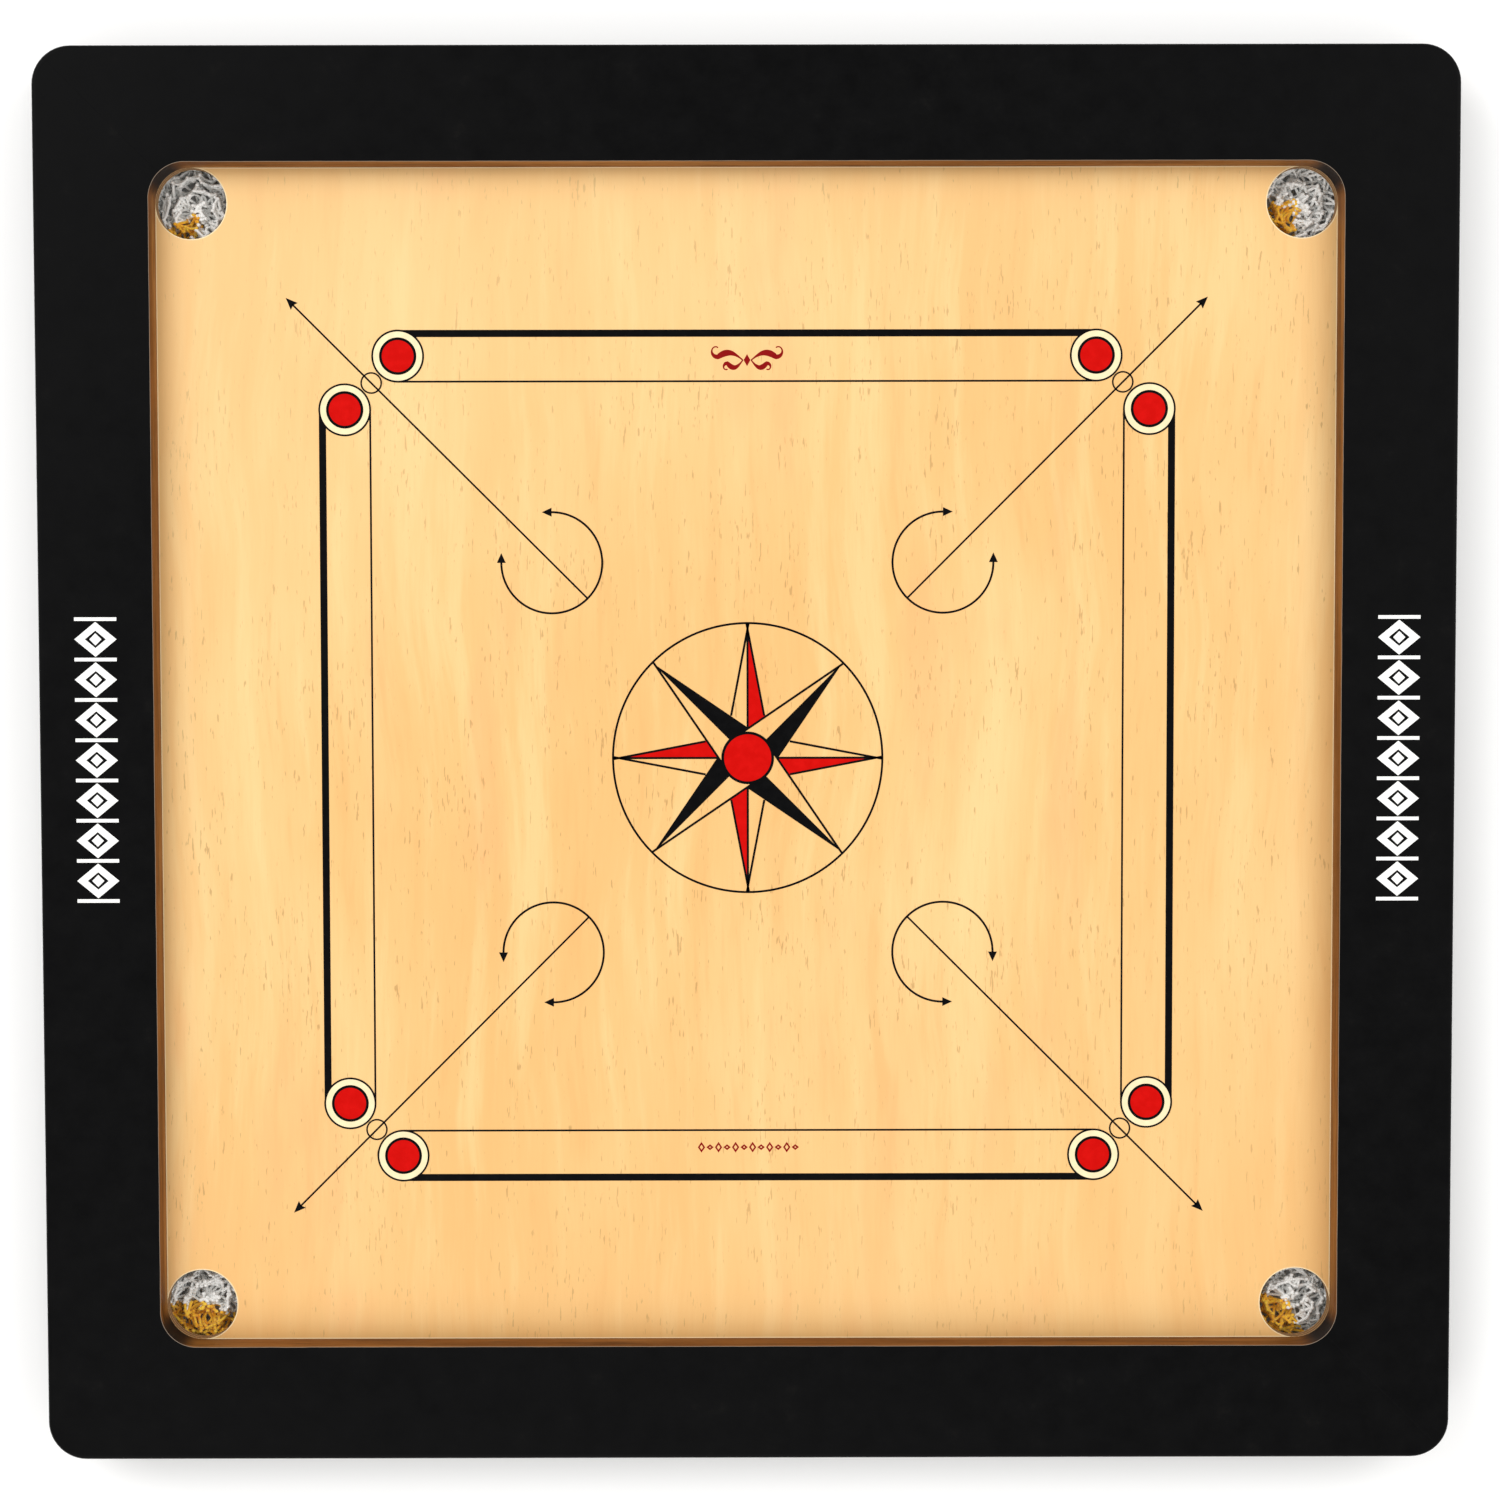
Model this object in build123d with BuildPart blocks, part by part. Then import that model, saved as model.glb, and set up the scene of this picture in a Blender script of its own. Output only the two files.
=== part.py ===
from build123d import *
import os
from math import sqrt

# Carrom board, in millimetres. +Z is up, +Y is the back of the board, and the origin is on the table under
# the board's centre. Four mitred rails carry a plywood playing panel in a rebate, and the panel is stiffened
# by four half-lapped braces. A netted pocket hangs under each corner of the panel.

# Driving dimensions
field_side = 740
rail_width = 72
rail_height = 50
cushion_height = 19
panel_thickness = 8
pocket_radius = 22.25
rebate_depth = 12
outer_corner_radius = 24
outer_edge_radius = 3
inner_edge_radius = 1

brace_width = 45
brace_height = 20
brace_offset = 150
brace_clearance = 3
brace_housing_depth = 25

cleat_size = 12
cleat_end = 312
cleat_gap = 0.5
brad_length = 25
brad_radius = 0.8
brad_head_radius = 1.5
brad_head_height = 1
brad_rows = (-280, -205, -95, 0, 95, 205, 280)

spline_length = 55
spline_width = 24
spline_thickness = 4
spline_height = 24
spline_reach = 577.5

screw_radius = 2
screw_head_radius = 4
screw_head_height = 2.4
screw_tip_length = 4
screw_recess_width = 1
screw_recess_length = 4.6
screw_recess_depth = 1.6
end_screw_length = 35
panel_screw_length = 25
panel_screw_pitch = 250
end_screw_spacing = 22

net_rim_radius = 27
net_belly_radius = 31
net_floor_radius = 20
net_wall = 1.6
net_top = 17.6
net_belly_height = 9.5
net_bottom = 0.6
cord_radius = 1.2
cord_clearance = 1.6
staple_wire_radius = 0.5
staple_half_span = 2
staple_bend = 0.9
staple_bite = 8.8
staple_count = 8

# Derived dimensions
board_side = field_side + 2 * rail_width
panel_top = rail_height - cushion_height
panel_bottom = panel_top - panel_thickness
rebate_side = field_side + 2 * rebate_depth
pocket_centre = field_side / 2 - pocket_radius
pocket_reach = pocket_centre * sqrt(2)
brace_length = rebate_side + 2 * brace_housing_depth
brace_span = 2 * brace_offset
cleat_face = rebate_side / 2 - cleat_size
cleat_height = panel_bottom - cleat_size / 2
cord_height = panel_bottom - cord_radius - cord_clearance

# Names of the four sides and the four corners, each with its direction in degrees from +X
sides = {"right": 0, "back": 90, "left": 180, "front": 270}
corners = {"back_right": 45, "back_left": 135, "front_left": 225, "front_right": 315}

os.makedirs("parts", exist_ok=True)


def countersunk_screw(length):
    """A countersunk screw standing on its head, without its drive recess."""
    with BuildPart() as screw:
        with BuildSketch(Plane.XZ):
            with BuildLine():
                Polyline(
                    (0, 0),
                    (screw_head_radius, 0),
                    (screw_radius, screw_head_height),
                    (screw_radius, length - screw_tip_length),
                    (0, length),
                    close=True,
                )
            make_face()
        revolve(axis=Axis.Z)
    return screw.part


def recessed(screw_blank):
    """The same screw with a cross recess cut in its head."""
    with BuildPart() as screw:
        add(screw_blank)
        with BuildSketch():
            Rectangle(screw_recess_length, screw_recess_width)
            Rectangle(screw_recess_width, screw_recess_length)
        extrude(amount=screw_recess_depth, mode=Mode.SUBTRACT)
    return screw.part


# Brace end screws: two up through each end of every brace into the rail above it.
end_screw_blank = countersunk_screw(end_screw_length)
end_screw = recessed(end_screw_blank)
end_screw_row = (brace_length - brace_housing_depth) / 2
end_screw_places = [
    (end_screw_row, side * brace_offset + offset, brace_clearance)
    for side in (-1, 1)
    for offset in (-end_screw_spacing / 2, end_screw_spacing / 2)
]

with BuildPart() as brace_end_screws:
    with PolarLocations(0, 4):
        with Locations(*end_screw_places):
            add(end_screw)

with BuildPart() as end_screw_holes:
    with PolarLocations(0, 4):
        with Locations(*end_screw_places):
            add(end_screw_blank)

# Panel screws: three up through each brace into the underside of the panel.
panel_screw_blank = countersunk_screw(panel_screw_length)
panel_screw = recessed(panel_screw_blank)
panel_screw_places = [
    (brace_offset, place * panel_screw_pitch, brace_clearance) for place in (-1, 0, 1)
]

with BuildPart() as panel_screws:
    with PolarLocations(0, 4):
        with Locations(*panel_screw_places):
            add(panel_screw)

with BuildPart() as panel_screw_holes:
    with PolarLocations(0, 4):
        with Locations(*panel_screw_places):
            add(panel_screw_blank)

# Cleat brads: seven through the cleats on each side, heads flush with the cleat's face.
with BuildPart() as brad:
    with BuildSketch(Plane.YZ):
        Circle(brad_radius)
    extrude(amount=brad_length)
    with BuildSketch(Plane.YZ):
        Circle(brad_head_radius)
    extrude(amount=brad_head_height)

with BuildPart() as cleat_brads:
    with PolarLocations(0, 4):
        with Locations(*[(cleat_face, row, cleat_height) for row in brad_rows]):
            add(brad.part)

# Corner splines: a slip of hardwood glued into matching slots across each mitre joint.
splines = {}
for corner, direction in corners.items():
    with BuildPart() as spline:
        with BuildSketch(Plane.XY.offset(spline_height - spline_thickness)):
            with PolarLocations(spline_reach, 1, start_angle=direction):
                Rectangle(spline_length, spline_width)
        extrude(amount=spline_thickness)
    splines[corner] = spline.part

# Rim cords: the drawstring ring round the mouth of each net, held against the panel's underside.
with BuildPart() as rim_cord:
    Torus(net_rim_radius, cord_radius)

# Net staples: eight wire staples round each rim cord, with their legs in the panel.
with BuildPart() as staple:
    with BuildLine(Plane.XZ):
        FilletPolyline(
            (-staple_half_span, staple_bite),
            (-staple_half_span, -cord_radius - staple_wire_radius),
            (staple_half_span, -cord_radius - staple_wire_radius),
            (staple_half_span, staple_bite),
            radius=staple_bend,
        )
    with BuildSketch(Plane.XY.offset(staple_bite)):
        with Locations((-staple_half_span, 0)):
            Circle(staple_wire_radius)
    sweep()

staples = {}
for corner, direction in corners.items():
    with BuildPart() as pocket_staples:
        with PolarLocations(pocket_reach, 1, start_angle=direction):
            with PolarLocations(net_rim_radius, staple_count):
                with Locations((0, 0, cord_height)):
                    add(staple.part)
    staples[corner] = pocket_staples.part

# Nets: each is an open-topped bag that swells below its rim and lies nearly on the table.
with BuildPart() as net:
    for inset, mode in ((0, Mode.ADD), (net_wall, Mode.SUBTRACT)):
        with BuildSketch(Plane.XZ):
            with BuildLine():
                Polyline(
                    (net_rim_radius - inset, net_top),
                    (0, net_top),
                    (0, net_bottom + inset),
                    (net_floor_radius - inset, net_bottom + inset),
                )
                ThreePointArc(
                    (net_floor_radius - inset, net_bottom + inset),
                    (net_belly_radius - inset, net_belly_height),
                    (net_rim_radius - inset, net_top),
                )
            make_face()
        revolve(axis=Axis.Z, mode=mode)

# Frame: all four rails in one piece, before the mitres are cut. It has the rebate for the panel, rounded
# corners inside and out, and housings for the ends of the braces.
with BuildPart() as frame_blank:
    with BuildSketch():
        RectangleRounded(board_side, board_side, outer_corner_radius)
    extrude(amount=rail_height)
    with BuildSketch(Plane.XY.offset(panel_top)):
        RectangleRounded(field_side, field_side, pocket_radius)
    extrude(amount=cushion_height, mode=Mode.SUBTRACT)
    top_face = frame_blank.faces().sort_by(Axis.Z)[-1]
    fillet(top_face.outer_wire().edges(), outer_edge_radius)
    top_face = frame_blank.faces().sort_by(Axis.Z)[-1]
    fillet(top_face.inner_wires()[0].edges(), inner_edge_radius)
    with BuildSketch():
        Rectangle(rebate_side, rebate_side)
    extrude(amount=panel_top, mode=Mode.SUBTRACT)
    with BuildSketch():
        with GridLocations(0, brace_span, 1, 2):
            Rectangle(brace_length, brace_width)
        with GridLocations(brace_span, 0, 2, 1):
            Rectangle(brace_width, brace_length)
    extrude(amount=panel_bottom, mode=Mode.SUBTRACT)
    add(list(splines.values()), mode=Mode.SUBTRACT)
    add(end_screw_holes.part, mode=Mode.SUBTRACT)
    add(cleat_brads.part, mode=Mode.SUBTRACT)

# Rails: the frame cut along its diagonals into four mitred bars.
for side, direction in sides.items():
    with BuildPart() as rail:
        add(frame_blank.part)
        with BuildSketch():
            Polygon(
                (0, 0),
                (board_side, -board_side),
                (board_side, board_side),
                rotation=direction,
                align=None,
            )
        extrude(amount=rail_height, mode=Mode.INTERSECT)
    rail.part.label = f"rail_{side}"
    export_step(rail.part, f"parts/rail_{side}.step")

# Playing panel: plywood with a round hole in each corner, touching the two rails there.
with BuildPart() as play_panel:
    with BuildSketch(Plane.XY.offset(panel_bottom)):
        Rectangle(rebate_side, rebate_side)
        with GridLocations(2 * pocket_centre, 2 * pocket_centre, 2, 2):
            Circle(pocket_radius, mode=Mode.SUBTRACT)
    extrude(amount=panel_thickness)
    add(panel_screw_holes.part, mode=Mode.SUBTRACT)
    add(list(staples.values()), mode=Mode.SUBTRACT)
play_panel.part.label = "play_panel"
export_step(play_panel.part, "parts/play_panel.step")

# Braces: two run from side to side and two from front to back, halved together where they cross. The
# crossing cut is in the top of the front and back braces and in the bottom of the other two.
for side, direction in sides.items():
    lap_floor = brace_clearance + brace_height / 2 if side in ("front", "back") else brace_clearance
    with BuildPart() as brace:
        with BuildSketch(Plane.XY.offset(brace_clearance)):
            with PolarLocations(brace_offset, 1, start_angle=direction):
                Rectangle(brace_width, brace_length)
        extrude(amount=brace_height)
        with BuildSketch(Plane.XY.offset(lap_floor)):
            with GridLocations(brace_span, brace_span, 2, 2):
                Rectangle(brace_width, brace_width)
        extrude(amount=brace_height / 2, mode=Mode.SUBTRACT)
        add(end_screw_holes.part, mode=Mode.SUBTRACT)
        add(panel_screw_holes.part, mode=Mode.SUBTRACT)
    brace.part.label = f"brace_{side}"
    export_step(brace.part, f"parts/brace_{side}.step")

# Cleats: strips along the rebate under the panel's edge, stopping short of the braces and the nets.
cleat_middle_length = brace_span - brace_width - 2 * cleat_gap
cleat_outer_start = brace_offset + brace_width / 2 + cleat_gap
cleat_outer_length = cleat_end - cleat_outer_start
cleat_outer_centre = (cleat_end + cleat_outer_start) / 2

for side, direction in sides.items():
    with BuildPart() as cleat:
        with BuildSketch(Plane.XY.offset(panel_bottom - cleat_size)):
            with PolarLocations(cleat_face + cleat_size / 2, 1, start_angle=direction):
                Rectangle(cleat_size, cleat_middle_length)
                with GridLocations(0, 2 * cleat_outer_centre, 1, 2):
                    Rectangle(cleat_size, cleat_outer_length)
        extrude(amount=cleat_size)
        add(cleat_brads.part, mode=Mode.SUBTRACT)
    cleat.part.label = f"cleat_{side}"
    export_step(cleat.part, f"parts/cleat_{side}.step")

# The pieces that repeat at every corner: spline, net, rim cord and staples.
for corner, direction in corners.items():
    spline_piece = splines[corner]
    spline_piece.label = f"corner_spline_{corner}"
    export_step(spline_piece, f"parts/corner_spline_{corner}.step")

    staple_group = staples[corner]
    staple_group.label = f"net_staples_{corner}"
    export_step(staple_group, f"parts/net_staples_{corner}.step")

    with BuildPart() as pocket_net:
        with PolarLocations(pocket_reach, 1, start_angle=direction):
            add(net.part)
    pocket_net.part.label = f"pocket_net_{corner}"
    export_step(pocket_net.part, f"parts/pocket_net_{corner}.step")

    with BuildPart() as net_cord:
        with PolarLocations(pocket_reach, 1, start_angle=direction):
            with Locations((0, 0, cord_height)):
                add(rim_cord.part)
    net_cord.part.label = f"net_cord_{corner}"
    export_step(net_cord.part, f"parts/net_cord_{corner}.step")

# Fasteners, one node for each kind.
fasteners = {
    "brace_end_screws": brace_end_screws.part,
    "panel_screws": panel_screws.part,
    "cleat_brads": cleat_brads.part,
}
for name, fastener_group in fasteners.items():
    fastener_group.label = name
    export_step(fastener_group, f"parts/{name}.step")
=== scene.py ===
import math

import bmesh
import bpy
from mathutils import Euler, Matrix, Vector, noise


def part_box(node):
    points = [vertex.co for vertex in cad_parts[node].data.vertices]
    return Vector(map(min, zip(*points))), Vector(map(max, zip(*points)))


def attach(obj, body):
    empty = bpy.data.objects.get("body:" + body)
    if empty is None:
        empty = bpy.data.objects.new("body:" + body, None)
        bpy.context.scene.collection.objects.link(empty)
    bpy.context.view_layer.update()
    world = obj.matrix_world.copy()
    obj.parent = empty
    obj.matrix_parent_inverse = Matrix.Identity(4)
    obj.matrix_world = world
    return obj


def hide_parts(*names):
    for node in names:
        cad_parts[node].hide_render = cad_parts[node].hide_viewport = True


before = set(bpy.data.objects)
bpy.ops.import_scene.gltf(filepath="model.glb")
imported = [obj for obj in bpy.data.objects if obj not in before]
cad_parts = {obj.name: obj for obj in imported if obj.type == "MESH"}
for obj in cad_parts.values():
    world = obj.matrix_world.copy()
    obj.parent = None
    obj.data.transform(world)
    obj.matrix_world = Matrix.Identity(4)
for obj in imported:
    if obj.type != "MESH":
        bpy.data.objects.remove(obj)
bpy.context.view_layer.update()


# ---------------------------------------------------------------------------------------------------------
# Studio. The board lies on a wide white table under large soft lights, seen from almost straight above.
# ---------------------------------------------------------------------------------------------------------

mm = 0.001
camera_place = (-0.0007, 0.0722, 1.65)
camera_tilt = Euler((-0.0415, -0.0014, -0.0017))
camera_lens = 61.6
table_size = 8.0
table_drop = 0.05 * mm
table_white = (0.97, 0.97, 0.97, 1)
sky_colour = (1.0, 0.99, 0.97, 1.0)
sky_strength = 0.74


def nothing_selected():
    """Leaves object mode with no piece selected, so that the next operator acts on its own piece only."""
    if bpy.context.mode != "OBJECT":
        bpy.ops.object.mode_set(mode="OBJECT")
    bpy.ops.object.select_all(action="DESELECT")


nothing_selected()
bpy.ops.object.camera_add(location=camera_place, rotation=camera_tilt)
camera = bpy.context.object
camera.name = "studio_camera"
camera.data.lens = camera_lens
camera.data.sensor_width = 36
camera.data.clip_start = 0.01
bpy.context.scene.camera = camera

nothing_selected()
bpy.ops.mesh.primitive_plane_add(size=table_size, location=(0, 0, -table_drop))
table = bpy.context.object
table.name = "studio_table"
table_paint = bpy.data.materials.new("table_white")
table_paint.use_nodes = True
table_shader = table_paint.node_tree.nodes["Principled BSDF"]
table_shader.inputs["Base Color"].default_value = table_white
table_shader.inputs["Roughness"].default_value = 0.9
table_shader.inputs["Specular IOR Level"].default_value = 0.0
table.data.materials.append(table_paint)

sky = bpy.data.worlds.new("studio_sky")
sky.use_nodes = True
sky.node_tree.nodes["Background"].inputs["Color"].default_value = sky_colour
sky.node_tree.nodes["Background"].inputs["Strength"].default_value = sky_strength
bpy.context.scene.world = sky
bpy.context.scene.view_settings.view_transform = "Standard"

# Each light's place, its size in metres and its power in watts.
softboxes = {
    "softbox_left": ((-1.9, 1.3, 2.3), 2.0, 38),
    "softbox_right": ((2.1, 0.8, 2.2), 2.0, 30),
    "softbox_front": ((-0.5, -2.2, 2.1), 2.2, 24),
}
for name, (place, size, power) in softboxes.items():
    nothing_selected()
    facing = (-Vector(place)).to_track_quat("-Z", "Y").to_euler()
    bpy.ops.object.light_add(type="AREA", location=place, rotation=facing)
    softbox = bpy.context.object
    softbox.name = name
    softbox.data.size = size
    softbox.data.energy = power


# ---------------------------------------------------------------------------------------------------------
# Rails. Four mitred hardwood bars, sprayed satin black on top and outside, with a painted reflection of the
# pale panel in brown on the inner wall that the men rebound from. The rebate underneath is bare wood.
# ---------------------------------------------------------------------------------------------------------

sides = ("front", "back", "left", "right")
corners = ("front_left", "front_right", "back_left", "back_right")
rail_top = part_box("rail_front")[1][2]
panel_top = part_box("play_panel")[1][2]
panel_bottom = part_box("play_panel")[0][2]
cord_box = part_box("net_cord_back_right")
pocket_reach = (cord_box[0][0] + cord_box[1][0]) / 2
rebate_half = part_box("play_panel")[1][0]
rebate_depth = 12 * mm
wall_half = rebate_half - rebate_depth
pocket_radius = wall_half - pocket_reach
pocket_shade = 12 * mm
grain_x = (0.06, 1.0, 1.0)
grain_y = (1.0, 0.06, 1.0)


def dress(piece, finish):
    """Gives a piece one finish all over."""
    piece.data.materials.clear()
    piece.data.materials.append(finish)


def new_finish(name):
    """A finish with its node tree, its shader and the piece's own coordinates."""
    finish = bpy.data.materials.new(name)
    finish.use_nodes = True
    tree = finish.node_tree
    place = tree.nodes.new("ShaderNodeTexCoord").outputs["Object"]
    return finish, tree, tree.nodes["Principled BSDF"], place


def put(tree, kind, values=None, **settings):
    """Adds a node, sets it, and feeds each named or numbered input from a socket or a value."""
    node = tree.nodes.new(kind)
    for key, value in settings.items():
        setattr(node, key, value)
    for key, value in (values or {}).items():
        if isinstance(value, bpy.types.NodeSocket):
            tree.links.new(value, node.inputs[key])
        else:
            node.inputs[key].default_value = value
    return node


def calc(tree, operation, a, b=0.0):
    """One sum on two values."""
    return put(tree, "ShaderNodeMath", {0: a, 1: b}, operation=operation).outputs[0]


def stretched(tree, place, scale):
    """The coordinates drawn out, so that a pattern on them runs along the grain."""
    return put(tree, "ShaderNodeMapping", {"Vector": place, "Scale": scale}).outputs[0]


def mottle(tree, place, scale, detail=3.0, roughness=0.55):
    """Soft noise from 0 to 1."""
    values = {"Vector": place, "Scale": scale, "Detail": detail, "Roughness": roughness}
    return put(tree, "ShaderNodeTexNoise", values).outputs["Fac"]


def fade(tree, value, low, high, to_low=0.0, to_high=1.0):
    """A smooth step between two values, kept inside its ends."""
    values = {"Value": value, "From Min": low, "From Max": high, "To Min": to_low, "To Max": to_high}
    return put(tree, "ShaderNodeMapRange", values, interpolation_type="SMOOTHSTEP").outputs["Result"]


def mixed(tree, amount, under, over):
    """One colour laid over another."""
    node = put(tree, "ShaderNodeMix", data_type="RGBA")
    for socket, value in ((node.inputs[0], amount), (node.inputs[6], under), (node.inputs[7], over)):
        if isinstance(value, bpy.types.NodeSocket):
            tree.links.new(value, socket)
        else:
            socket.default_value = value
    return node.outputs[2]


def tones(tree, value, *stops):
    """A colour from a value, through stops of (place, colour)."""
    ramp = put(tree, "ShaderNodeValToRGB", {"Fac": value})
    band = ramp.color_ramp
    while len(band.elements) < len(stops):
        band.elements.new(0.5)
    for element, (place, colour) in zip(band.elements, stops):
        element.position = place
        element.color = (*colour, 1)
    return ramp.outputs["Color"]


def raise_grain(tree, shader, height, strength, distance):
    """Feeds a height to the shader as a bump."""
    values = {"Height": height, "Strength": strength, "Distance": distance}
    tree.links.new(put(tree, "ShaderNodeBump", values).outputs[0], shader.inputs["Normal"])


def board_parts(tree, place):
    """A point's own coordinates, and how far it lies from the board's centre along x and along y."""
    parts = put(tree, "ShaderNodeSeparateXYZ", {0: place}).outputs
    return parts, calc(tree, "ABSOLUTE", parts["X"]), calc(tree, "ABSOLUTE", parts["Y"])


def from_pocket(tree, x, y):
    """How far outside a pocket's edge a point lies, from its two steps away from the pocket's centre."""
    square = calc(tree, "ADD", calc(tree, "MULTIPLY", x, x), calc(tree, "MULTIPLY", y, y))
    return calc(tree, "SUBTRACT", calc(tree, "SQRT", square), pocket_radius)


def rail_lacquer(name, grain):
    """Black lacquer over grain that runs along the rail, with a painted reflection in brown on the wall and
    the bare rebate.
    """
    finish, tree, shader, place = new_finish(name)
    parts, across, along = board_parts(tree, place)
    height = parts["Z"]
    # Past the pockets' centres the steps count, and short of them they don't, so this follows the wall.
    past_x = calc(tree, "MAXIMUM", calc(tree, "SUBTRACT", across, pocket_reach), 0.0)
    past_y = calc(tree, "MAXIMUM", calc(tree, "SUBTRACT", along, pocket_reach), 0.0)
    behind = from_pocket(tree, past_x, past_y)
    fibres = mottle(tree, stretched(tree, place, grain), 620, 4)
    figure = mottle(tree, stretched(tree, place, grain), 90, 5, 0.6)
    scuffs = mottle(tree, place, 55, 6, 0.7)
    black = tones(tree, scuffs, (0.30, (0.0012, 0.0012, 0.0014)), (0.62, (0.0026, 0.0026, 0.0028)),
                  (0.85, (0.007, 0.0065, 0.006)))
    # Painted reflection: the wall is painted brown, broken by darker patches, for the pale panel reflected in
    # its lacquer.
    brown = tones(tree, figure, (0.25, (0.105, 0.035, 0.007)), (0.5, (0.215, 0.082, 0.018)),
                  (0.75, (0.36, 0.165, 0.045)))
    reflection_patches = mottle(tree, stretched(tree, place, grain), 300, 4, 0.65)
    brown = mixed(tree, fade(tree, reflection_patches, 0.50, 0.70, 0.0, 0.65), brown, (0.045, 0.018, 0.007, 1))
    # Painted shade: the wall is painted darker round the pockets, where it curves round the hole.
    shade_x = fade(tree, past_x, 0.0, pocket_shade)
    shade_y = fade(tree, past_y, 0.0, pocket_shade)
    pocket_painted_shade = calc(tree, "MINIMUM", shade_x, shade_y)
    brown = mixed(tree, pocket_painted_shade, brown, (0.018, 0.012, 0.010, 1))
    edge = calc(tree, "ADD", behind, calc(tree, "MULTIPLY", calc(tree, "SUBTRACT", scuffs, 0.5), 0.5 * mm))
    painted = fade(tree, edge, 0.22 * mm, 0.40 * mm)
    colour = mixed(tree, painted, brown, black)
    # A painted highlight: a thin pale line is painted along the arris, between the wall and the black top,
    # for the light caught on the rounded edge.
    arris_in = fade(tree, edge, 0.10 * mm, 0.24 * mm)
    arris_out = fade(tree, edge, 0.34 * mm, 0.52 * mm, 1.0, 0.0)
    arris = calc(tree, "MULTIPLY", calc(tree, "MULTIPLY", arris_in, arris_out), 0.75)
    colour = mixed(tree, arris, colour, (0.34, 0.27, 0.21, 1))
    # The rebate's wall and its ceiling, under the rail, stay bare.
    under = fade(tree, height, panel_top - 0.4 * mm, panel_top - 0.1 * mm, 1.0, 0.0)
    outermost = calc(tree, "MAXIMUM", across, along)
    inside = fade(tree, outermost, rebate_half + 0.2 * mm, rebate_half + 0.5 * mm, 1.0, 0.0)
    normal = put(tree, "ShaderNodeNewGeometry").outputs["Normal"]
    facing = put(tree, "ShaderNodeSeparateXYZ", {0: normal}).outputs["Z"]
    facing_down = fade(tree, facing, -0.8, -0.6, 1.0, 0.0)
    ceiling = calc(tree, "MULTIPLY", facing_down, fade(tree, height, 0.5 * mm, 1 * mm))
    bare = calc(tree, "MULTIPLY", under, calc(tree, "MAXIMUM", inside, ceiling))
    raw = tones(tree, figure, (0.3, (0.30, 0.17, 0.08)), (0.7, (0.47, 0.29, 0.15)))
    colour = mixed(tree, bare, colour, raw)
    # The mitre shows as a hair of shadow where two bars meet.
    mitre = calc(tree, "ABSOLUTE", calc(tree, "SUBTRACT", across, along))
    joint = fade(tree, mitre, 0.05 * mm, 0.35 * mm)
    tree.links.new(colour, shader.inputs["Base Color"])
    gloss = calc(tree, "ADD", fade(tree, scuffs, 0.3, 0.8, 0.40, 0.56), calc(tree, "MULTIPLY", bare, 0.3))
    tree.links.new(gloss, shader.inputs["Roughness"])
    shader.inputs["Specular IOR Level"].default_value = 0.05
    relief = calc(tree, "ADD", calc(tree, "MULTIPLY", fibres, 0.35), joint)
    raise_grain(tree, shader, relief, 0.25, 0.25 * mm)
    return finish


rail_finish_x = rail_lacquer("black_lacquer_front_back", grain_x)
rail_finish_y = rail_lacquer("black_lacquer_sides", grain_y)
for side in sides:
    dress(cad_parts[f"rail_{side}"], rail_finish_x if side in ("front", "back") else rail_finish_y)


# ---------------------------------------------------------------------------------------------------------
# Playing panel. Five-ply board faced with pale veneer, its grain running from front to back under clear
# satin lacquer. The pocket holes show the plies, and the underside is bare.
# ---------------------------------------------------------------------------------------------------------

ply_pairs = 2.5
wall_shade_width = 6.5 * mm


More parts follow.
